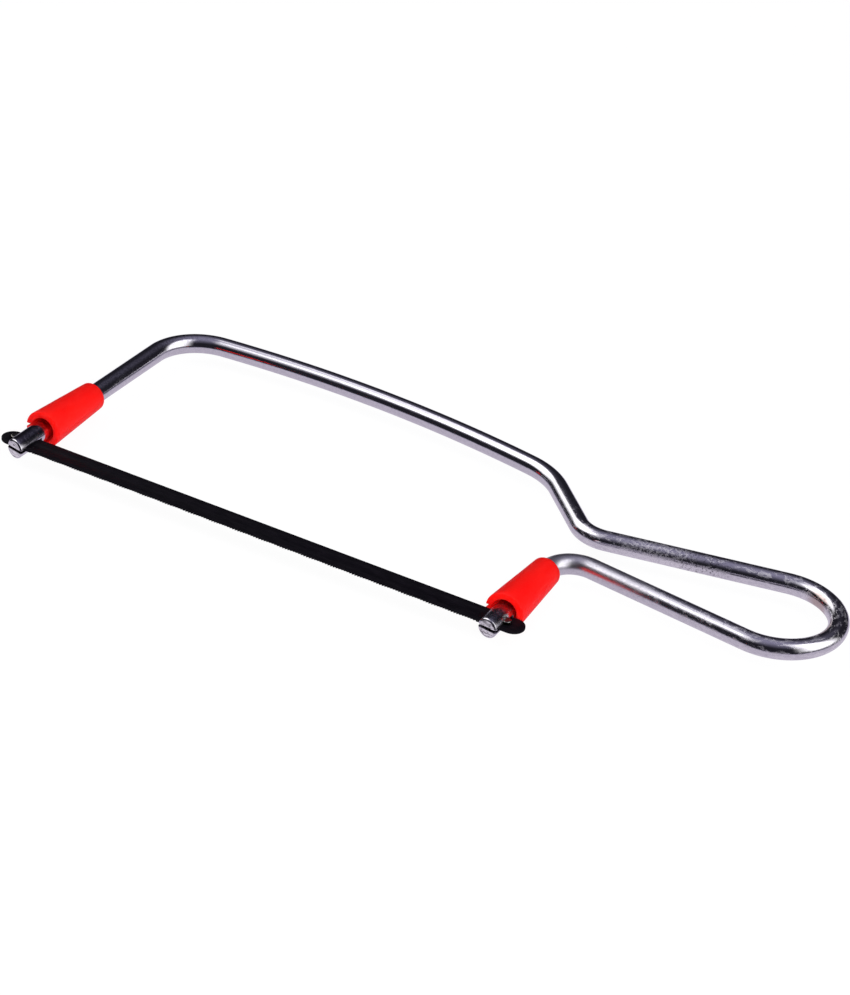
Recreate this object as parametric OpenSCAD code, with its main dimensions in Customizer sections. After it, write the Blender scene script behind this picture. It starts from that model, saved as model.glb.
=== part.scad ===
// Junior hacksaw, lying flat: one bent wire frame, a pinned blade and two push-on sleeves.
// Millimetres. X runs along the blade towards the handle, Y from the teeth towards the back
// of the frame, Z up. The origin is the centre of the bounding box at floor level.
// The frame is walked as one wire, from the front tip to the rear tip, leg by leg.

/* [Wire] */
// Diameter of the frame wire
wire_d = 5.6; // [4.6:0.1:6.4]
// Distance between the axes of the two arms
arm_gap = 144; // [140:0.5:150]
// Chamfer round each cut end of the wire
tip_chamfer = 0.5; // [0.2:0.1:0.9]

/* [Front bend and back] */
// Straight length of the front arm
front_arm = 69.8; // [60:0.1:80]
// Centre-line radius of the front bend
front_bend_r = 15; // [10:0.5:20]
// Turn of the front bend in degrees
front_bend = 84; // [80:0.5:86]
// Centre-line radius of the bowed back
back_bow_r = 340; // [300:5:420]
// Turn of the bowed back in degrees
back_bow = 17.4; // [14:0.1:20]
// Centre-line radius of the rear bend
rear_bend_r = 22; // [18:0.5:26]
// Turn of the rear bend in degrees
rear_bend = 35.4; // [30:0.2:40]

/* [Handle] */
// Straight length of the slope down to the handle
slope = 18.8; // [14:0.2:24]
// Centre-line radius of the bend where the slope meets the handle
grip_bend_r = 10; // [8:0.5:14]
// Turn of that bend in degrees
grip_bend = 59; // [55:0.5:63]
// Straight length of the handle's upper side
grip_top = 49; // [40:0.5:60]
// Centre-line radius of the loop at the end of the handle
loop_r = 16; // [13:0.5:18]
// Turn of the loop in degrees
loop_turn = 200; // [196:0.5:204]
// Centre-line radius of the bend from the handle into the rear arm
heel_bend_r = 8; // [7:0.5:9]

/* [Blade seats] */
// Width of the slot sawn into each end of the wire
slot_w = 0.9; // [0.8:0.05:1.2]
// Depth of that slot, from the tip
slot_depth = 9.6; // [9.3:0.1:12]
// Clearance of the groove round the blade pin
seat_clearance = 0.05; // [0.02:0.01:0.2]

/* [Blade] */
// Distance between the axes of the two blade pins
pin_spacing = 150; // [149:0.1:151]
// Width of the blade, teeth included
blade_w = 6.6; // [6:0.1:6.8]
// Thickness of the blade
blade_t = 0.65; // [0.5:0.05:0.7]
// Blade beyond the front pin axis
blade_front_end = 3.8; // [3.4:0.1:5]
// Blade beyond the rear pin axis
blade_rear_end = 5; // [3.4:0.1:5.5]
// How far the wire tips stand proud of the teeth
tip_proud = 2.1; // [0.5:0.1:2.4]
// Length of the toothed edge
toothed_length = 136; // [100:0.8:136]
// Distance from one tooth to the next
tooth_pitch = 0.8; // [0.8:0.1:1.8]
// Depth of the teeth
tooth_depth = 0.45; // [0.3:0.05:0.8]
// Share of the pitch taken by the sloping back of a tooth, the rest being its cutting face
tooth_slope = 0.75; // [0.6:0.05:0.85]
// Diameter of the blade pins
pin_d = 2.4; // [2:0.1:2.8]
// Length of the blade pins
pin_length = 2.4; // [2:0.1:5]
// Chamfer round each end of the pins
pin_chamfer = 0.25; // [0.1:0.05:0.5]

/* [Sleeves] */
// Length of a sleeve
sleeve_length = 24; // [18:0.1:24]
// Outside diameter at the wide mouth
mouth_d = 10.8; // [10:0.1:12]
// Inside diameter at the wide mouth
mouth_bore_d = 7; // [6.6:0.1:8.6]
// Outside diameter at the narrow end
neck_d = 8.2; // [8:0.1:9]
// Radial clearance between a sleeve's bore and the wire
sleeve_clearance = 0.05; // [0.02:0.01:0.1]
// Length of straight bore at the narrow end
grip_length = 9; // [6:0.5:14]
// Bevel round each end of a sleeve
sleeve_bevel = 0.5; // [0.2:0.1:0.6]
// Width of the notch in the mouth, on the side away from the handle
notch_w = 1.3; // [0.8:0.1:2.4]
// Depth of that notch, from the mouth
notch_depth = 4; // [2:0.1:6]
// Height of the front sleeve's mouth above the wire tip
front_sleeve_at = 13.7; // [9:0.1:30]
// Height of the rear sleeve's mouth above the wire tip
rear_sleeve_at = 9.7; // [9:0.1:9.7]

/* [Hidden] */
$fn = 72;
eps = 0.01;
tuck_step = 0.01;
tuck_length = 0.3;
UP = 90;
DOWN = -90;
wire_r = wire_d / 2;

// A place on the wire's centre line is [x, y, heading], the front tip's axis being x = 0, y = 0.
// A leg is [length, 0] for a straight, or [centre-line radius, turn] for a bend, left positive.
function straight_on(p, length) =
    [p.x + length * cos(p.z), p.y + length * sin(p.z), p.z];

function bend_centre(p, radius, turn) =
    [p.x - sign(turn) * radius * sin(p.z), p.y + sign(turn) * radius * cos(p.z)];

function bent_on(p, radius, turn) =
    let (centre = bend_centre(p, radius, turn), heading = p.z + turn)
    [
        centre.x + sign(turn) * radius * sin(heading),
        centre.y - sign(turn) * radius * cos(heading),
        heading
    ];

function leg_end(p, leg) =
    leg[1] == 0 ? straight_on(p, leg[0]) : bent_on(p, leg[0], leg[1]);

function walked(legs, count) =
    count == 0 ? [0, 0, UP] : leg_end(walked(legs, count - 1), legs[count - 1]);

FRONT_LEGS = [
    [front_arm, 0],
    [front_bend_r, -front_bend],
    [back_bow_r, -back_bow],
    [rear_bend_r, -rear_bend],
    [slope, 0],
    [grip_bend_r, grip_bend],
    [grip_top, 0],
    [loop_r, -loop_turn]
];
BOW = 2;
LOOP = 7;

// The handle's lower side and the rear arm are as long as brings the rear tip level with the
// front tip, arm_gap away from it, and the rear arm parallel to the front arm.
loop_exit = walked(FRONT_LEGS, len(FRONT_LEGS));
heel_turn = DOWN - loop_exit.z;
heel_run = bent_on([0, 0, loop_exit.z], heel_bend_r, heel_turn).x;
grip_bottom = (arm_gap - loop_exit.x - heel_run) / cos(loop_exit.z);
heel_start = straight_on(loop_exit, grip_bottom);
rear_arm = bent_on(heel_start, heel_bend_r, heel_turn).y;
LEGS = concat(FRONT_LEGS, [
    [grip_bottom, 0],
    [heel_bend_r, heel_turn],
    [rear_arm, 0]
]);

// Blade, pins and sleeves
pin_r = pin_d / 2;
pin_out = (pin_spacing - arm_gap) / 2;
blade_x0 = -pin_out - blade_front_end;
blade_x1 = arm_gap + pin_out + blade_rear_end;
blade_end_r = blade_w / 2;
pin_y = tip_proud + blade_end_r;
tooth_count = floor(toothed_length / tooth_pitch);
teeth_x0 = (arm_gap - tooth_count * tooth_pitch) / 2;
sleeve_bore_r = wire_r + sleeve_clearance;

// The bounding box, from which the origin is taken
back_centre = bend_centre(walked(LEGS, BOW), back_bow_r, -back_bow);
loop_centre = bend_centre(walked(LEGS, LOOP), loop_r, -loop_turn);
low_x = blade_x0;
high_x = loop_centre.x + loop_r + wire_r;
high_y = back_centre.y + back_bow_r + wire_r;
floor_z = -mouth_d / 2;

module in_place() {
    translate([-(low_x + high_x) / 2, -high_y / 2, -floor_z])
    children();
}

// A leg of the wire, drawn from the place where it starts. Every second leg is a hair thinner
// and runs a little way into its neighbours, so that all legs fuse into one solid.
module wire_leg(p, leg, tucked) {
    radius = tucked ? wire_r - tuck_step : wire_r;
    reach = tucked ? tuck_length : 0;
    if (leg[1] == 0)
        wire_straight(p, leg[0], radius);
    else
        wire_bend(bend_centre(p, leg[0], leg[1]), p.z, leg, radius, reach);
}

module wire_straight(p, length, radius) {
    translate([p.x, p.y, 0])
    rotate([0, 90, p.z])
    cylinder(h = length, r = radius);
}

// A left bend starts 90 degrees behind its heading as seen from its centre, and a right bend
// ends 90 degrees ahead of its last heading.
module wire_bend(centre, heading, leg, radius, reach) {
    turn = leg[1];
    extra = reach / leg[0] * 180 / PI;
    first_angle = turn > 0 ? heading - 90 : heading + turn + 90;
    translate([centre.x, centre.y, 0])
    rotate([0, 0, first_angle - extra])
    rotate_extrude(angle = abs(turn) + 2 * extra, $fn = 240)
    translate([leg[0], 0])
    circle(r = radius, $fn = 72);
}

// What is cut away to bevel the end of an arm whose axis is at x
module tip_bevel(x) {
    translate([x, 0, 0])
    rotate([-90, 0, 0])
    rotate_extrude()
    polygon([
        [wire_r - 2 * tip_chamfer, -tip_chamfer],
        [wire_r + tip_chamfer, -tip_chamfer],
        [wire_r + tip_chamfer, 2 * tip_chamfer]
    ]);
}

// The saw cut that the blade sits in, and the groove that its pin rests in
module blade_seat(x, outward) {
    translate([x - wire_d, -wire_d, -slot_w / 2])
    cube([2 * wire_d, slot_depth + wire_d, slot_w]);
    translate([x + outward * pin_out, pin_y, -wire_d])
    cylinder(h = 2 * wire_d, r = pin_r + seat_clearance);
}

module frame_rod() {
    color([0.8, 0.8, 0.82])
    in_place()
    difference() {
        for (i = [0 : len(LEGS) - 1])
            wire_leg(walked(LEGS, i), LEGS[i], i % 2 == 1);
        tip_bevel(0);
        tip_bevel(arm_gap);
        blade_seat(0, -1);
        blade_seat(arm_gap, 1);
    }
}

// The blade's outline with its toothed edge, the cutting face of each tooth towards the front
module blade_outline() {
    difference() {
        union() {
            translate([blade_x0 + blade_end_r, pin_y])
            circle(r = blade_end_r);
            translate([blade_x1 - blade_end_r, pin_y])
            circle(r = blade_end_r);
            translate([blade_x0 + blade_end_r, tip_proud])
            square([blade_x1 - blade_x0 - blade_w, blade_w]);
        }
        translate([teeth_x0, tip_proud])
        tooth_gaps();
        for (x = [-pin_out, arm_gap + pin_out])
            translate([x, pin_y])
            circle(r = pin_r + eps);
    }
}

// The row of gaps between the teeth
module tooth_gaps() {
    root = tooth_slope * tooth_pitch;
    polygon(concat(
        [[tooth_count * tooth_pitch, -tooth_depth], [0, -tooth_depth]],
        [
            for (i = [0 : tooth_count - 1], corner = [0 : 2])
                [
                    i * tooth_pitch + (corner == 0 ? eps : corner == 1 ? root : tooth_pitch - eps),
                    corner == 1 ? tooth_depth : 0
                ]
        ]
    ));
}

module blade() {
    color([0.06, 0.06, 0.07])
    in_place()
    translate([0, 0, -blade_t / 2])
    linear_extrude(height = blade_t)
    blade_outline();
}

module blade_pin() {
    translate([0, 0, -pin_length / 2]) {
        cylinder(h = pin_chamfer, r1 = pin_r - pin_chamfer, r2 = pin_r);
        translate([0, 0, pin_chamfer])
        cylinder(h = pin_length - 2 * pin_chamfer, r = pin_r);
        translate([0, 0, pin_length - pin_chamfer])
        cylinder(h = pin_chamfer, r1 = pin_r, r2 = pin_r - pin_chamfer);
    }
}

module blade_pins() {
    color([0.6, 0.6, 0.62])
    in_place() {
        for (x = [-pin_out, arm_gap + pin_out])
            translate([x, pin_y, 0])
            blade_pin();
    }
}

// A tapered collar, mouth down, as seen along its own axis
module sleeve() {
    mouth_r = mouth_d / 2;
    mouth_bore_r = mouth_bore_d / 2;
    neck_r = neck_d / 2;
    difference() {
        rotate_extrude()
        polygon([
            [mouth_bore_r, 0],
            [mouth_r - sleeve_bevel, 0],
            [mouth_r, sleeve_bevel],
            [neck_r, sleeve_length - sleeve_bevel],
            [neck_r - sleeve_bevel, sleeve_length],
            [sleeve_bore_r, sleeve_length],
            [sleeve_bore_r, sleeve_length - grip_length]
        ]);
        translate([-mouth_d, -notch_w / 2, -notch_depth])
        cube([mouth_d, notch_w, 2 * notch_depth]);
    }
}

module sleeve_on_arm(x, height) {
    color([0.85, 0.03, 0.02])
    in_place()
    translate([x, height, 0])
    rotate([-90, 0, 0])
    sleeve();
}

module front_sleeve() {
    sleeve_on_arm(0, front_sleeve_at);
}

module rear_sleeve() {
    sleeve_on_arm(arm_gap, rear_sleeve_at);
}

frame_rod();
blade();
blade_pins();
front_sleeve();
rear_sleeve();
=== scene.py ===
"""A junior hacksaw lying on a pale studio floor.

Everything is in metres, in the row frame: X along the blade, Y towards the back of the frame,
Z up. Every piece is built where the CAD frame holds it and rides on that CAD body.
"""

import math

import bmesh
import bpy
import numpy as np
from mathutils import Matrix, Vector, noise


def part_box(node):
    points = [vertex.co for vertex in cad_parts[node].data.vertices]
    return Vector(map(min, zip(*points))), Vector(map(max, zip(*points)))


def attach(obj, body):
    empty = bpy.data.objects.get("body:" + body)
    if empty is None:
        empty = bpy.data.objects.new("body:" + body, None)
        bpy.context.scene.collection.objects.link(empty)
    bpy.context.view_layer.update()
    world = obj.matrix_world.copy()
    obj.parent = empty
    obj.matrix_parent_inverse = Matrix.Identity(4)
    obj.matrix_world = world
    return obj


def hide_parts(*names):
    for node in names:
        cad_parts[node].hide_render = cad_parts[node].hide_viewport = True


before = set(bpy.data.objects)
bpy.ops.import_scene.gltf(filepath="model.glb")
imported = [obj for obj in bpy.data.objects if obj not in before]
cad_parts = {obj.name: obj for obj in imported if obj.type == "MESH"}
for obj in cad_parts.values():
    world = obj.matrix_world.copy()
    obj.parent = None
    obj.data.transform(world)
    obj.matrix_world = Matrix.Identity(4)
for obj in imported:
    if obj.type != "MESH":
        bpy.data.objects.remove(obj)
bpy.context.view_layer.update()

MM = 0.001
TURN = 2 * math.pi

# The wire, leg by leg from the front tip: (length, 0) runs straight and (radius, turn) bends
# left by turn degrees, in millimetres as the CAD source has them.
WIRE_R = 2.77 * MM
FRONT_LEGS = [
    (69.8, 0),
    (15, -84),
    (340, -17.4),
    (22, -35.4),
    (18.8, 0),
    (10, 59),
    (49, 0),
    (16, -200),
]
HEEL_R = 8
TIP_CHAMFER = 0.5 * MM
# Where the rings of vertices lie in a tip's chamfer, as shares of it from the cut end
CHAMFER_RINGS = (0, 0.06, 0.14, 0.25, 0.4, 0.6, 0.8, 1)
# How much of the chamfer's full depth the cut end has
CHAMFER_SHARE = 0.95
SLOT_W = 0.9 * MM
SLOT_DEPTH = 9.6 * MM
GROOVE_R = 1.25 * MM
# How far the sawn tips are out of square, front and rear, as a slope across the wire
TIP_SLANTS = (0.24, 0.12)
# The wire's own unevenness: how deep it is and how far from one swelling to the next
WIRE_SWELL = 0.016 * MM
SWELL_LENGTH = 9 * MM

# Marks on the wire: (centre, full, none) is a mark centred that many millimetres along the wire
# from the front tip, full strength up to full millimetres from its centre and gone at none.
SPECKLED_ARM = (42, 36, 50)
RUBBED_PATCH = (253, 5, 13)
DIRT = (264, 4, 9)
SMEAR = (299, 1.5, 6)
HAZY_HEEL = (388, 12, 26)
# The stretches, in the same millimetres, over which the handle's scuffs come in and die away
# and the rear end grows duller
SCUFFS_START = (205, 240)
SCUFFS_END = (330, 395)
REAR_DULLS = (330, 365)
# The stretches, in millimetres from the nearer tip, over which the painted dark reflection near
# the tips comes in and dies away
DARK_REFLECTION_START = (0.9, 1.7)
DARK_REFLECTION_END = (12, 17)

# The blade
TOOTH_PITCH = 0.8 * MM
TOOTH_DEPTH = 0.45 * MM
TOOTHED_LENGTH = 136 * MM
TOOTH_SET = 0.10 * MM
# How far each tooth's tip lies behind its front root, as a share of the pitch
ROOT_TO_TIP = 0.25
TEETH_PER_WAVE = 9
END_ARC_STEPS = 24
PIN_R = 1.2 * MM

# The sleeves
MOUTH_BORE_R = 3.5 * MM
NECK_R = 4.1 * MM
SLEEVE_BORE_R = 2.85 * MM
GRIP_LENGTH = 9 * MM
NOTCH_W = 1.3 * MM
NOTCH_DEPTH = 4 * MM
SLEEVE_UNEVENNESS = 0.05 * MM

# Where the CAD frame holds them
front_low, front_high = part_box("front_sleeve")
rear_low, rear_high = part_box("rear_sleeve")
blade_low, blade_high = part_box("blade")
wire_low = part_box("frame_rod")[0]
pins_low, pins_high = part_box("blade_pins")
FRONT_X = (front_low.x + front_high.x) / 2
REAR_X = (rear_low.x + rear_high.x) / 2
AXIS_Z = (front_low.z + front_high.z) / 2
TIP_Y = wire_low.y
PIN_Y = (blade_low.y + blade_high.y) / 2
FRONT_PIN_X = pins_low.x + PIN_R
REAR_PIN_X = pins_high.x - PIN_R


# ---------------------------------------------------------------- mesh helpers


def new_piece(name, verts, faces, material):
    mesh = bpy.data.meshes.new(name)
    mesh.from_pydata([tuple(v) for v in verts], [], faces)
    mesh.materials.append(material)
    mesh.validate()
    obj = bpy.data.objects.new(name, mesh)
    bpy.context.scene.collection.objects.link(obj)
    return obj


def settle(obj):
    """Replaces obj's mesh by what its modifiers make of it."""
    bpy.context.view_layer.update()
    made = bpy.data.meshes.new_from_object(
        obj.evaluated_get(bpy.context.evaluated_depsgraph_get())
    )
    made.name = obj.name
    old = obj.data
    obj.modifiers.clear()
    obj.data = made
    bpy.data.meshes.remove(old)


def cut(obj, cutters):
    """Takes the cutters' shapes out of obj, exactly, and removes the cutters."""
    for cutter in cutters:
        mod = obj.modifiers.new("cut", "BOOLEAN")
        mod.operation = "DIFFERENCE"
        mod.solver = "EXACT"
        mod.object = cutter
    settle(obj)
    for cutter in cutters:
        mesh = cutter.data
        bpy.data.objects.remove(cutter)
        bpy.data.meshes.remove(mesh)


def soften_edges(obj, width, segments=2, angle=32):
    """A small bevel on every hard edge, then smooth shading that keeps what is still sharp."""
    mod = obj.modifiers.new("soften", "BEVEL")
    mod.width = width
    mod.segments = segments
    mod.limit_method = "ANGLE"
    mod.angle_limit = math.radians(angle)
    mod.use_clamp_overlap = True
    settle(obj)
    shade_smooth(obj, angle)


def shade_smooth(obj, angle=32):
    obj.data.shade_smooth()
    obj.data.set_sharp_from_angle(angle=math.radians(angle))


def ring_faces(rings, around, closed=False):
    """Quads between successive rings of `around` vertices each."""
    faces = []
    for i in range(rings if closed else rings - 1):
        a, b = i * around, (i + 1) % rings * around
        for j in range(around):
            k = (j + 1) % around
            faces.append((a + j, a + k, b + k, b + j))
    return faces


def end_caps(rings, around):
    """The two faces that close a stack of open rings."""
    last = (rings - 1) * around
    return [tuple(range(around - 1, -1, -1)), tuple(range(last, last + around))]


def rounded_corners(points, radii, steps=6):
    """A closed 2-D outline with each corner replaced by an arc of its own radius."""
    out = []
    for i, radius in enumerate(radii):
        before, here, after = (
            Vector(points[i - 1]),
            Vector(points[i]),
            Vector(points[(i + 1) % len(points)]),
        )
        if radius == 0:
            out.append(here)
            continue
        to_before, to_after = (before - here).normalized(), (after - here).normalized()
        half = to_before.angle(to_after) / 2
        reach = radius / math.tan(half)
        centre = here + (to_before + to_after).normalized() * (radius / math.sin(half))
        start, end = here + to_before * reach - centre, here + to_after * reach - centre
        angle = start.angle(end)
        for k in range(steps + 1):
            t = k / steps
            arm = start * math.sin((1 - t) * angle) + end * math.sin(t * angle)
            out.append(centre + arm / math.sin(angle))
    return out


def revolve(name, profile, place, around, material, closed=True):
    """A solid of revolution round Z from (radius, height) points. The profile is a closed
    outline, or an open one whose two ends are capped."""
    verts = []
    for radius, height in profile:
        for j in range(around):
            a = TURN * j / around
            verts.append(
                place @ Vector((radius * math.cos(a), radius * math.sin(a), height))
            )
    faces = ring_faces(len(profile), around, closed)
    if not closed:
        faces += end_caps(len(profile), around)
    return new_piece(name, verts, faces, material)


def box_cutter(low, high):
    bm = bmesh.new()
    bmesh.ops.create_cube(bm, size=1)
    size, centre = high - low, (low + high) / 2
    bmesh.ops.transform(
        bm, matrix=Matrix.Translation(centre) @ Matrix.Diagonal((*size, 1)), verts=bm.verts
    )
    return cutter_object(bm)


def drill_cutter(centre, radius, length):
    """A drill along Z."""
    bm = bmesh.new()
    bmesh.ops.create_cone(
        bm,
        cap_ends=True,
        segments=64,
        radius1=radius,
        radius2=radius,
        depth=length,
        matrix=Matrix.Translation(centre),
    )
    return cutter_object(bm)


def cutter_object(bm):
    mesh = bpy.data.meshes.new("cutter")
    bm.to_mesh(mesh)
    bm.free()
    obj = bpy.data.objects.new("cutter", mesh)
    bpy.context.scene.collection.objects.link(obj)
    return obj


# ---------------------------------------------------------------- material helpers


class Shader:
    """A node tree under construction: each call adds one node and wires its inputs."""

    def __init__(self, tree):
        self.tree = tree
        tree.nodes.clear()

    def add(self, kind, inputs=None, **settings):
        node = self.tree.nodes.new(kind)
        for name, value in settings.items():
            setattr(node, name, value)
        for name, value in (inputs or {}).items():
            if isinstance(value, bpy.types.NodeSocket):
                self.tree.links.new(value, node.inputs[name])
            else:
                node.inputs[name].default_value = value
        return node

    def math(self, operation, a, b=0.0, clamp=False):
        node = self.add("ShaderNodeMath", {0: a, 1: b}, operation=operation)
        node.use_clamp = clamp
        return node.outputs[0]

    def remap(self, value, from_min, from_max, to_min=0.0, to_max=1.0, smooth=False):
        node = self.add(
            "ShaderNodeMapRange",
            {
                "Value": value,
                "From Min": from_min,
                "From Max": from_max,
                "To Min": to_min,
                "To Max": to_max,
            },
            interpolation_type="SMOOTHSTEP" if smooth else "LINEAR",
        )
        return node.outputs["Result"]

    def noise(self, vector, scale, detail=2.0, roughness=0.5, distortion=0.0):
        node = self.add(
            "ShaderNodeTexNoise",
            {
                "Vector": vector,
                "Scale": scale,
                "Detail": detail,
                "Roughness": roughness,
                "Distortion": distortion,
            },
        )
        return node.outputs["Fac"]

    def stretched(self, vector, scale):
        node = self.add("ShaderNodeMapping", {"Vector": vector, "Scale": scale})
        return node.outputs["Vector"]

    def mix_colour(self, factor, a, b):
        node = self.add("ShaderNodeMix", data_type="RGBA")
        for socket, value in ((0, factor), (6, a), (7, b)):
            if isinstance(value, bpy.types.NodeSocket):
                self.tree.links.new(value, node.inputs[socket])
            else:
                node.inputs[socket].default_value = value
        return node.outputs[2]

    def bump(self, height, distance, normal=None):
        inputs = {"Height": height, "Distance": distance, "Strength": 1.0}
        if normal is not None:
            inputs["Normal"] = normal
        return self.add("ShaderNodeBump", inputs).outputs["Normal"]

    def surface(self, **inputs):
        shader = self.add(
            "ShaderNodeBsdfPrincipled",
            {k.replace("_", " "): v for k, v in inputs.items()},
        )
        self.add("ShaderNodeOutputMaterial", {"Surface": shader.outputs["BSDF"]})


def new_material(name):
    material = bpy.data.materials.new(name)
    material.use_nodes = True
    return material, Shader(material.node_tree)


# ---------------------------------------------------------------- materials


PLATING = (0.71, 0.69, 0.735, 1)
HAZED_PLATING = (0.63, 0.61, 0.655, 1)
MOTTLED_PLATING = (0.60, 0.58, 0.63, 1)
SPECKLED_PLATING = (0.42, 0.405, 0.45, 1)
PITTED_PLATING = (0.52, 0.50, 0.54, 1)
SCUFFED_PLATING = (0.80, 0.78, 0.81, 1)
# Painted dark reflection, in blotches, on the top and bottom of the wire near the tips
DARK_REFLECTION_PLATING = (0.22, 0.205, 0.25, 1)
DIRT_COLOUR = (0.14, 0.13, 0.15, 1)
SMEAR_COLOUR = (0.52, 0.42, 0.40, 1)
SAWN_STEEL = (0.88, 0.87, 0.88, 1)
SCORED_STEEL = (0.24, 0.23, 0.24, 1)


def bright_wire_material(wire_length):
    """Bright plated drawn wire with sawn tips, duller towards its rear end and scuffed on the
    handle. Its pattern lies in the straightened wire: the piece's "wire" attribute holds
    millimetres along it and across it."""
    material, sh = new_material("bright_wire")
    wire = sh.add("ShaderNodeAttribute", attribute_name="wire").outputs["Vector"]
    parts = sh.add("ShaderNodeSeparateXYZ", {"Vector": wire}).outputs
    along, sideways = parts["X"], parts["Y"]
    from_tip = sh.math("PINGPONG", along, wire_length / 2 / MM)
    facing = sh.add("ShaderNodeNewGeometry").outputs["Normal"]
    facing = sh.add("ShaderNodeSeparateXYZ", {"Vector": facing}).outputs
    on_flat_side = sh.remap(sh.math("ABSOLUTE", facing["Z"]), 0.45, 0.75, smooth=True)

    def near(centre, full, none):
        away = sh.math("ABSOLUTE", sh.math("SUBTRACT", along, centre))
        return sh.remap(away, full, none, 1, 0, smooth=True)

    def times(*factors):
        product = factors[0]
        for factor in factors[1:]:
            product = sh.math("MULTIPLY", product, factor)
        return product

    # Patterns
    drawn = sh.noise(sh.stretched(wire, (0.15, 4.0, 4.0)), 1.0, 3.0, 0.6)
    specks = sh.noise(sh.stretched(wire, (1.0, 1.3, 1.3)), 1.9, 3.0, 0.7)
    haze = sh.noise(sh.stretched(wire, (0.35, 1.0, 1.0)), 0.55, 3.0, 0.6)
    scuffs = sh.noise(sh.stretched(wire, (0.45, 0.9, 0.9)), 0.8, 4.0, 0.7, 0.6)
    blotches = sh.noise(sh.stretched(wire, (0.9, 0.9, 0.9)), 1.3, 4.0, 0.75, 0.4)
    mottle = sh.noise(sh.stretched(wire, (0.8, 1.0, 1.0)), 1.5, 3.0, 0.7, 0.3)
    cuts = sh.noise(sh.stretched(wire, (1.0, 0.5, 2.2)), 1.0, 3.0, 0.65, 0.8)

    # Marks, each as its share of the surface
    pits = sh.remap(specks, 0.58, 0.72, smooth=True)
    rub = sh.remap(haze, 0.45, 0.72, smooth=True)
    on_handle = times(
        sh.remap(along, *SCUFFS_START, smooth=True),
        sh.remap(along, *SCUFFS_END, 1, 0, smooth=True),
    )
    scuffed = times(sh.remap(scuffs, 0.48, 0.62, smooth=True), on_handle)
    worn = times(near(*RUBBED_PATCH), sh.remap(blotches, 0.42, 0.56, smooth=True))
    scuffed = sh.math("MAXIMUM", scuffed, worn)
    dirt = times(near(*DIRT), sh.remap(specks, 0.55, 0.62))
    smear = times(near(*SMEAR), sh.remap(sideways, -1.2, -2.0, smooth=True))
    speckled = times(
        near(*SPECKLED_ARM), on_flat_side, sh.remap(mottle, 0.44, 0.60, smooth=True)
    )
    sawn = times(
        sh.remap(sh.math("ABSOLUTE", facing["Y"]), 0.85, 0.95),
        sh.math("LESS_THAN", from_tip, 2.0),
    )
    scored = times(sh.remap(cuts, 0.47, 0.60, smooth=True), sawn)
    # Painted dark reflection: blotches darken the top and bottom of the wire near the tips,
    # while its flanks stay bright
    painted_dark_reflection = times(
        sh.remap(blotches, 0.30, 0.55, smooth=True),
        sh.remap(from_tip, *DARK_REFLECTION_END, 1, 0, smooth=True),
        on_flat_side,
        sh.remap(from_tip, *DARK_REFLECTION_START, smooth=True),
    )

    roughness = sh.remap(rub, 0, 1, 0.09, 0.16)
    for share, added in (
        (pits, 0.10),
        (scuffed, 0.30),
        (sh.remap(mottle, 0.48, 0.66, smooth=True), 0.06),
        (sh.remap(along, *REAR_DULLS, smooth=True), 0.09),
        (near(*HAZY_HEEL), 0.14),
        (sawn, 0.14),
    ):
        roughness = sh.math("ADD", roughness, sh.math("MULTIPLY", share, added))

    tint = sh.mix_colour(haze, PLATING, HAZED_PLATING)
    for share, colour in (
        (sh.remap(mottle, 0.42, 0.62, smooth=True), MOTTLED_PLATING),
        (pits, PITTED_PLATING),
        (scuffed, SCUFFED_PLATING),
        (dirt, DIRT_COLOUR),
        (smear, SMEAR_COLOUR),
        (sawn, SAWN_STEEL),
        (scored, SCORED_STEEL),
        (speckled, SPECKLED_PLATING),
        # The painted dark reflection near the tips
        (painted_dark_reflection, DARK_REFLECTION_PLATING),
    ):
        tint = sh.mix_colour(share, tint, colour)

    normal = None
    for height, depth in (
        (drawn, 3.5e-6),
        (specks, 7.5e-6),
        (scuffs, 14e-6),
        (times(cuts, sawn), 32e-6),
        (painted_dark_reflection, 7e-6),
    ):
        normal = sh.bump(height, depth, normal)
    sh.surface(Base_Color=tint, Metallic=1.0, Roughness=roughness, Normal=normal)
    return material


def black_blade_material():
    """Thin black lacquer over rolled strip, with fine rolling lines along the blade."""
    material, sh = new_material("black_blade")
    place = sh.add("ShaderNodeTexCoord").outputs["Object"]
    rolled = sh.noise(sh.stretched(place, (90, 5200, 5200)), 1.0, 3.0, 0.6)
    mottle = sh.noise(sh.stretched(place, (260, 700, 700)), 1.0, 4.0, 0.6)
    colour = sh.mix_colour(
        sh.remap(mottle, 0.35, 0.7), (0.0022, 0.0018, 0.0032, 1), (0.0050, 0.0040, 0.0064, 1)
    )
    sh.surface(
        Base_Color=colour,
        Roughness=sh.remap(mottle, 0.3, 0.7, 0.50, 0.62),
        Specular_IOR_Level=0.06,
        Normal=sh.bump(rolled, 2.2e-6),
    )
    return material


def pin_steel_material():
    """Blackened steel pin with the rims of its cut ends rubbed bright."""
    material, sh = new_material("pin_steel")
    place = sh.add("ShaderNodeTexCoord").outputs["Object"]
    grain = sh.noise(place, 2600.0, 3.0, 0.6)
    facing = sh.add("ShaderNodeNewGeometry").outputs["Normal"]
    up = sh.math(
        "ABSOLUTE", sh.add("ShaderNodeSeparateXYZ", {"Vector": facing}).outputs["Z"]
    )
    bare = sh.math(
        "MULTIPLY",
        sh.remap(up, 0.35, 0.65, smooth=True),
        sh.remap(up, 0.93, 0.99, 1, 0.3, smooth=True),
    )
    colour = sh.mix_colour(bare, (0.02, 0.018, 0.018, 1), (0.34, 0.32, 0.30, 1))
    sh.surface(
        Base_Color=colour,
        Metallic=1.0,
        Roughness=sh.remap(grain, 0.3, 0.7, 0.22, 0.40),
        Normal=sh.bump(grain, 6e-6),
    )
    return material


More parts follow.
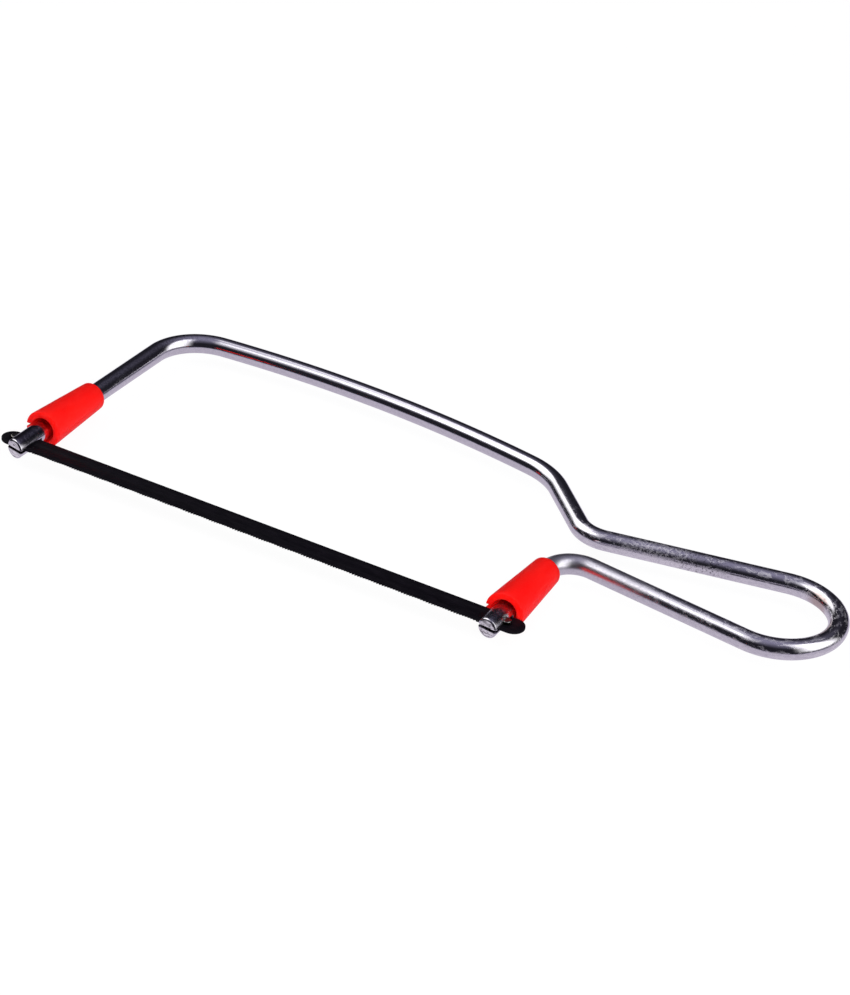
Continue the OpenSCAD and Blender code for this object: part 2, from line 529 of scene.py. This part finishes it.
def red_plastic_material():
    """Moulded red plastic with a fine skin texture and faint flow marks."""
    material, sh = new_material("red_plastic")
    place = sh.add("ShaderNodeTexCoord").outputs["Object"]
    flow = sh.noise(sh.stretched(place, (260, 90, 260)), 1.0, 3.0, 0.55)
    skin = sh.noise(place, 1900.0, 2.0, 0.6)
    dents = sh.noise(place, 420.0, 2.0, 0.5)
    colour = sh.mix_colour(
        sh.remap(flow, 0.3, 0.7), (0.91, 0.0034, 0.0030, 1), (0.98, 0.0098, 0.0068, 1)
    )
    normal = sh.bump(dents, 60e-6)
    normal = sh.bump(skin, 5e-6, normal)
    sh.surface(
        Base_Color=colour,
        Roughness=sh.remap(skin, 0.3, 0.7, 0.46, 0.60),
        Specular_IOR_Level=0.14,
        Subsurface_Weight=0.7,
        Subsurface_Radius=(4.0 * MM, 0.25 * MM, 0.15 * MM),
        Subsurface_Scale=1.0,
        Normal=normal,
    )
    return material


def floor_material():
    """White paper that glows a little, so that shadows on it stay faint."""
    material, sh = new_material("studio_floor")
    place = sh.add("ShaderNodeTexCoord").outputs["Object"]
    grain = sh.noise(place, 220.0, 3.0, 0.5)
    paper = sh.mix_colour(grain, (0.085, 0.085, 0.085, 1), (0.095, 0.095, 0.095, 1))
    sh.surface(
        Base_Color=paper,
        Roughness=1.0,
        Specular_IOR_Level=0.0,
        Emission_Color=(1, 1, 1, 1),
        Emission_Strength=FLOOR_GLOW,
    )
    return material


# ---------------------------------------------------------------- the wire frame


def step_forward(place, leg):
    """The place [x, y, heading] at the end of a leg, in millimetres and degrees."""
    x, y, heading = place
    size, turn = leg
    h = math.radians(heading)
    if turn == 0:
        return x + size * math.cos(h), y + size * math.sin(h), heading
    side = math.copysign(1, turn)
    cx, cy = x - side * size * math.sin(h), y + side * size * math.cos(h)
    h += math.radians(turn)
    return cx + side * size * math.sin(h), cy - side * size * math.cos(h), heading + turn


def all_legs():
    """The front legs, then the handle's lower side, the heel bend and the rear arm, which
    bring the wire back down to the level of the front tip."""
    place = (0, 0, 90)
    for leg in FRONT_LEGS:
        place = step_forward(place, leg)
    heel_turn = -90 - place[2]
    heel_run = step_forward((0, 0, place[2]), (HEEL_R, heel_turn))[0]
    arm_gap = (REAR_X - FRONT_X) / MM
    lower_side = (arm_gap - place[0] - heel_run) / math.cos(math.radians(place[2]))
    heel = step_forward(place, (lower_side, 0))
    rear_arm = step_forward(heel, (HEEL_R, heel_turn))[1]
    return [*FRONT_LEGS, (lower_side, 0), (HEEL_R, heel_turn), (rear_arm, 0)]


def centre_line(spacing=1.6, turn_step=2.0):
    """Points, headings and distances along the wire, in metres and radians, no further apart
    than spacing millimetres or turn_step degrees."""
    rows, place, travelled = [], (0, 0, 90), 0.0
    for leg in all_legs():
        size, turn = leg
        length = size if turn == 0 else size * math.radians(abs(turn))
        count = max(2, math.ceil(length / spacing), math.ceil(abs(turn) / turn_step))
        for k in range(count):
            t = k / count
            part = (size * t, 0) if turn == 0 else (size, turn * t)
            x, y, heading = place if k == 0 else step_forward(place, part)
            rows.append((x, y, math.radians(heading), travelled + length * t))
        place = step_forward(place, leg)
        travelled += length
    rows.append((place[0], place[1], math.radians(place[2]), travelled))
    rows = np.array(rows)
    points = np.column_stack(
        [
            FRONT_X + rows[:, 0] * MM,
            TIP_Y + rows[:, 1] * MM,
            np.full(len(rows), AXIS_Z),
        ]
    )
    return points, rows[:, 2], rows[:, 3] * MM


def tip_radius(distance):
    """The wire's radius at this distance from its cut end: a chamfer with softened corners."""
    if distance >= TIP_CHAMFER:
        return WIRE_R
    t = distance / TIP_CHAMFER
    return WIRE_R - TIP_CHAMFER * (1 - math.sin(t * math.pi / 2)) * CHAMFER_SHARE


def swell(distance, angle):
    """How far the wire's skin lies inside its nominal radius at this place."""
    place = Vector((distance / SWELL_LENGTH, 0.3 * math.cos(angle), 0.3 * math.sin(angle)))
    return WIRE_SWELL * (0.5 + 0.5 * noise.noise(place))


def build_frame_rod(material, around=120):
    points, headings, along = centre_line()
    total = along[-1]
    in_chamfer = TIP_CHAMFER * np.array(CHAMFER_RINGS)
    # The slanted tips lean over 2 radii of wire, and the first straight ring stays clear of that
    clear = TIP_CHAMFER + 2.2 * WIRE_R * max(TIP_SLANTS)
    keep = (along >= clear) & (along <= total - clear)
    stations = np.concatenate([in_chamfer, along[keep], total - in_chamfer[::-1]])
    x = np.interp(stations, along, points[:, 0])
    y = np.interp(stations, along, points[:, 1])
    heading = np.interp(stations, along, headings)
    verts = []
    for s, px, py, h in zip(stations, x, y, heading):
        radius = tip_radius(min(s, total - s))
        side = Vector((-math.sin(h), math.cos(h), 0))
        ahead = Vector((math.cos(h), math.sin(h), 0))
        if s <= TIP_CHAMFER:
            slant = ahead * TIP_SLANTS[0]
        elif s >= total - TIP_CHAMFER:
            slant = ahead * -TIP_SLANTS[1]
        else:
            slant = ahead * 0
        for j in range(around):
            a = TURN * j / around
            arm = side * math.cos(a) + Vector((0, 0, math.sin(a)))
            back = WIRE_R - radius * arm.x
            verts.append(Vector((px, py, AXIS_Z)) + arm * (radius - swell(s, a)) + slant * back)
    faces = ring_faces(len(stations), around) + end_caps(len(stations), around)
    rod = new_piece("frame_rod_wire", verts, faces, material)
    reach = Vector((2 * WIRE_R, 0, SLOT_W / 2))
    cutters = []
    for arm_x, pin_x in ((FRONT_X, FRONT_PIN_X), (REAR_X, REAR_PIN_X)):
        tip = Vector((arm_x, TIP_Y, AXIS_Z))
        slot_low = tip - reach - Vector((0, WIRE_R, 0))
        slot_high = tip + reach + Vector((0, SLOT_DEPTH, 0))
        cutters.append(box_cutter(slot_low, slot_high))
        cutters.append(drill_cutter(Vector((pin_x, PIN_Y, AXIS_Z)), GROOVE_R, 4 * WIRE_R))
    cut(rod, cutters)
    soften_edges(rod, 0.07 * MM)
    store_wire_coordinates(rod, points, headings, along)
    return rod


def store_wire_coordinates(obj, points, headings, along):
    """Gives each vertex its place in the straightened wire, in millimetres: the distance
    along it, then across it in the plane of the frame, then up."""
    mesh = obj.data
    co = np.empty(len(mesh.vertices) * 3)
    mesh.vertices.foreach_get("co", co)
    co = co.reshape(-1, 3)
    out = np.empty_like(co)
    for start in range(0, len(co), 2000):
        part = co[start : start + 2000]
        gap = part[:, None, :2] - points[None, :, :2]
        nearest = np.argmin((gap**2).sum(axis=2), axis=1)
        h = headings[nearest]
        offset = part[:, :2] - points[nearest, :2]
        ahead = offset[:, 0] * np.cos(h) + offset[:, 1] * np.sin(h)
        across = -offset[:, 0] * np.sin(h) + offset[:, 1] * np.cos(h)
        out[start : start + 2000] = np.column_stack(
            [along[nearest] + ahead, across, part[:, 2] - AXIS_Z]
        )
    attribute = mesh.attributes.new("wire", "FLOAT_VECTOR", "POINT")
    attribute.data.foreach_set("vector", (out / MM).ravel())


# ---------------------------------------------------------------- blade and pins


def build_blade(material):
    """The strip with its rounded, drilled ends and a row of teeth in a wavy set."""
    low, high = blade_low, blade_high
    end_r = (high.y - low.y) / 2
    half_t = (high.z - low.z) / 2
    root_y = low.y + TOOTH_DEPTH
    count = math.floor(TOOTHED_LENGTH / TOOTH_PITCH + 1e-6)
    start_x = (FRONT_X + REAR_X) / 2 - count * TOOTH_PITCH / 2

    def end_arc(centre_x, start):
        angles = [start - math.pi * k / END_ARC_STEPS for k in range(END_ARC_STEPS + 1)]
        return [(centre_x + end_r * math.cos(a), PIN_Y + end_r * math.sin(a)) for a in angles]

    outline = end_arc(high.x - end_r, math.pi / 2)
    outline.append((start_x + count * TOOTH_PITCH, low.y))
    roots = []
    for i in range(count, 0, -1):
        roots.append(len(outline))
        outline.append((start_x + (i - ROOT_TO_TIP) * TOOTH_PITCH, root_y))
    outline.append((start_x, low.y))
    outline += end_arc(low.x + end_r, -math.pi / 2)
    verts = []
    n = len(outline)
    for z in (AXIS_Z + half_t, AXIS_Z - half_t):
        verts += [Vector((x, y, z)) for x, y in outline]
    faces = end_caps(2, n)
    tooth_roots = set(zip(roots, roots[1:]))
    for i in range(n):
        k = (i + 1) % n
        if (i, k) not in tooth_roots:
            faces.append((i, k, n + k, n + i))
    for number, (right, left) in enumerate(sorted(tooth_roots)):
        tip_x = verts[left].x + ROOT_TO_TIP * TOOTH_PITCH
        lean = TOOTH_SET * math.sin(TURN * number / TEETH_PER_WAVE)
        tip = len(verts)
        for z in (AXIS_Z + half_t, AXIS_Z - half_t):
            verts.append(Vector((tip_x, low.y, z + lean)))
        faces.append((right, left, tip))
        faces.append((n + left, n + right, tip + 1))
        faces.append((right, tip, tip + 1, n + right))
        faces.append((tip, left, n + left, tip + 1))
    blade = new_piece("blade_strip", verts, faces, material)
    tidy_normals(blade)
    drills = [
        drill_cutter(Vector((x, PIN_Y, AXIS_Z)), PIN_R, 4 * WIRE_R)
        for x in (FRONT_PIN_X, REAR_PIN_X)
    ]
    cut(blade, drills)
    soften_edges(blade, 0.05 * MM, angle=50)
    return blade


def tidy_normals(obj):
    bm = bmesh.new()
    bm.from_mesh(obj.data)
    bmesh.ops.recalc_face_normals(bm, faces=bm.faces)
    bm.to_mesh(obj.data)
    bm.free()


def build_pins(material):
    half = (pins_high.z - pins_low.z) / 2
    profile = rounded_corners(
        [(0, -half), (PIN_R, -half), (PIN_R, half), (0, half)],
        [0, 0.22 * MM, 0.22 * MM, 0],
    )
    pins = []
    for name, x in (("front_blade_pin", FRONT_PIN_X), ("rear_blade_pin", REAR_PIN_X)):
        outline = [(max(r, 0.02 * MM), h) for r, h in profile]
        place = Matrix.Translation((x, PIN_Y, AXIS_Z))
        pin = revolve(name, outline, place, 48, material, closed=False)
        shade_smooth(pin, 60)
        pins.append(pin)
    return pins


# ---------------------------------------------------------------- sleeves


def build_sleeve(name, low, high, material, seed):
    """A tapered collar with a soft-edged, notched mouth, very slightly out of true."""
    length = high.y - low.y
    mouth_r = (high.z - low.z) / 2
    corners = [
        (MOUTH_BORE_R, 0),
        (mouth_r, 0),
        (NECK_R, length),
        (SLEEVE_BORE_R, length),
        (SLEEVE_BORE_R, length - GRIP_LENGTH),
    ]
    radii = [0.30 * MM, 0.42 * MM, 0.45 * MM, 0.20 * MM, 0]
    outline = rounded_corners(corners, radii)
    profile = []
    for i, here in enumerate(outline):
        after = outline[(i + 1) % len(outline)]
        steps = max(1, round((after - here).length / (1.2 * MM)))
        profile += [here.lerp(after, k / steps) for k in range(steps)]
    axis = Vector(((low.x + high.x) / 2, low.y, AXIS_Z))
    place = Matrix.Translation(axis) @ Matrix.Rotation(math.radians(-90), 4, "X")
    sleeve = revolve(name, profile, place, 96, material)
    tidy_normals(sleeve)
    notch_low = axis - Vector((2 * mouth_r, mouth_r, NOTCH_W / 2))
    notch_high = axis + Vector((0, NOTCH_DEPTH, NOTCH_W / 2))
    cut(sleeve, [box_cutter(notch_low, notch_high)])
    soften_edges(sleeve, 0.16 * MM, segments=3, angle=40)
    wander(sleeve, axis, SLEEVE_UNEVENNESS, seed)
    return sleeve


def wander(obj, axis, amount, seed):
    """Moves the outer skin in and out a little, as an uneven moulding does, never outwards
    past its own surface."""
    shift = Vector((seed * 7.3, seed * 3.1, seed * 5.7))
    for v in obj.data.vertices:
        arm = Vector((v.co.x - axis.x, 0, v.co.z - axis.z))
        if arm.length < 1.2 * SLEEVE_BORE_R:
            continue
        level = noise.noise(v.co / (5 * MM) + shift) * 0.5 + 0.5
        v.co -= arm.normalized() * amount * level


# ---------------------------------------------------------------- studio

CAMERA_AT = Vector((0.2817, -0.59845, 0.4018))
CAMERA_AZIMUTH = math.radians(25.58)
CAMERA_ELEVATION = math.radians(30.77)
CAMERA_ROLL = math.radians(6.17)
LENS = 104.79
SENSOR = 36.0
ROOM_COLOUR = (0.90, 0.86, 1.20, 1)
TABLE_COLOUR = (1.0, 0.93, 1.08, 1)
FLOOR_GLOW = 0.93
FLOOR_HALF = 3.0
FLOOR_STEPS = 12
FILL_SIZE = 0.5
FILL_POWER = 6.0


def add_camera():
    data = bpy.data.cameras.new("camera")
    data.lens = LENS
    data.sensor_width = SENSOR
    camera = bpy.data.objects.new("camera", data)
    camera.location = CAMERA_AT
    turn = Matrix.Rotation(CAMERA_AZIMUTH, 3, "Z")
    tilt = Matrix.Rotation(math.pi / 2 - CAMERA_ELEVATION, 3, "X")
    roll = Matrix.Rotation(CAMERA_ROLL, 3, "Z")
    camera.rotation_euler = (turn @ tilt @ roll).to_euler()
    bpy.context.scene.collection.objects.link(camera)
    bpy.context.scene.camera = camera


def add_floor(material):
    """The floor that the camera sees. The light that comes up from it is in the studio light,
    where it reaches only as far as the real table did."""
    half, steps = FLOOR_HALF, FLOOR_STEPS
    verts, faces = [], []
    for i in range(steps + 1):
        for j in range(steps + 1):
            verts.append((half * (2 * i / steps - 1), half * (2 * j / steps - 1), 0))
    for i in range(steps):
        for j in range(steps):
            a = i * (steps + 1) + j
            faces.append((a, a + steps + 1, a + steps + 2, a + 1))
    floor = new_piece("studio_floor", verts, faces, material)
    floor.visible_diffuse = False
    floor.visible_glossy = False
    floor.visible_shadow = False


def add_studio_light():
    """A large soft box on each side of the camera, the left one with a dimmer wing behind it,
    in a dim room whose light grows towards the ceiling, over a pale table."""
    world = bpy.data.worlds.new("studio")
    bpy.context.scene.world = world
    world.use_nodes = True
    sh = Shader(world.node_tree)
    direction = sh.add("ShaderNodeTexCoord").outputs["Generated"]
    ahead = sh.add(
        "ShaderNodeVectorRotate",
        {"Vector": direction, "Angle": -CAMERA_AZIMUTH},
        rotation_type="Z_AXIS",
    ).outputs["Vector"]
    parts = sh.add("ShaderNodeSeparateXYZ", {"Vector": ahead}).outputs
    degree = 180 / math.pi
    azimuth = sh.math("MULTIPLY", sh.math("ARCTAN2", parts["X"], parts["Y"]), degree)
    elevation = sh.math("MULTIPLY", sh.math("ARCSINE", parts["Z"]), degree)

    def rise(value, edge, soft):
        return sh.remap(value, edge - soft, edge + soft, smooth=True)

    def fall(value, edge, soft):
        return sh.remap(value, edge - soft, edge + soft, 1, 0, smooth=True)

    def soft_box(strength, left, right, low, high, above):
        """A soft-edged light. Each edge is (place, softness) in degrees, the azimuth counted
        from the camera's heading to its right. above is the height over the lower edge."""
        level = sh.math("MULTIPLY", rise(azimuth, *left), fall(azimuth, *right))
        level = sh.math("MULTIPLY", level, rise(above, *low))
        level = sh.math("MULTIPLY", level, fall(elevation, *high))
        return sh.math("MULTIPLY", level, strength)

    # The left box's lower edge climbs towards its back corner
    lifted = sh.remap(azimuth, -140, -76, 45, 0)
    over_lifted = sh.math("SUBTRACT", elevation, lifted)
    left_box = soft_box(2.6, (-112, 9), (-31, 8), (20, 11), (64, 11), over_lifted)
    left_wing = soft_box(0.85, (-138, 16), (-90, 20), (43, 12), (66, 12), elevation)
    right_box = soft_box(2.5, (81, 12), (137, 19), (2, 11), (71, 10), elevation)
    boxes = sh.math("ADD", sh.math("ADD", left_box, left_wing), right_box)
    # The table reaches up to 12 degrees below the horizon, and 7 less on the camera's side
    behind = rise(sh.math("ABSOLUTE", azimuth), 138, 14)
    dropped = sh.math("ADD", elevation, sh.math("MULTIPLY", behind, 7.0))
    table_share = fall(dropped, -12, 6)
    table = sh.math("MULTIPLY", table_share, 0.65)
    colour = sh.mix_colour(table_share, ROOM_COLOUR, TABLE_COLOUR)
    room = sh.remap(elevation, 25, 90, 0.020, 0.35, smooth=True)
    # Past the floor's edge the camera sees plain white
    shown = sh.add("ShaderNodeLightPath").outputs["Is Camera Ray"]
    boxes = sh.math("MAXIMUM", boxes, shown)
    light = sh.add("ShaderNodeBackground", {"Strength": boxes}).outputs["Background"]
    dim = sh.add(
        "ShaderNodeBackground", {"Color": colour, "Strength": sh.math("ADD", room, table)}
    )
    both = sh.add("ShaderNodeAddShader", {0: light, 1: dim.outputs["Background"]})
    sh.add("ShaderNodeOutputWorld", {"Surface": both.outputs["Shader"]})


def add_fill_light():
    """A wide soft fill just below the camera, which the bright wire does not reflect."""
    data = bpy.data.lights.new("fill", "AREA")
    data.shape = "SQUARE"
    data.size = FILL_SIZE
    data.energy = FILL_POWER
    light = bpy.data.objects.new("fill", data)
    towards = Vector((CAMERA_AT.x, CAMERA_AT.y, 0.6 * CAMERA_AT.z))
    light.location = towards
    light.rotation_euler = towards.to_track_quat("Z", "Y").to_euler()
    light.visible_glossy = False
    light.visible_camera = False
    bpy.context.scene.collection.objects.link(light)


# ---------------------------------------------------------------- the scene


def place_piece(obj, body, node):
    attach(obj, body)
    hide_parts(node)


bpy.context.scene.view_settings.view_transform = "Standard"
add_camera()
add_floor(floor_material())
add_studio_light()
add_fill_light()

wire_length = centre_line()[2][-1]
wire_material = bright_wire_material(wire_length)
place_piece(build_frame_rod(wire_material), "frame", "frame_rod")
place_piece(build_blade(black_blade_material()), "frame", "blade")
for pin in build_pins(pin_steel_material()):
    place_piece(pin, "frame", "blade_pins")
red = red_plastic_material()
for number, node in enumerate(("front_sleeve", "rear_sleeve"), start=1):
    low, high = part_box(node)
    sleeve = build_sleeve(f"{node}_collar", low, high, red, number)
    place_piece(sleeve, node, node)
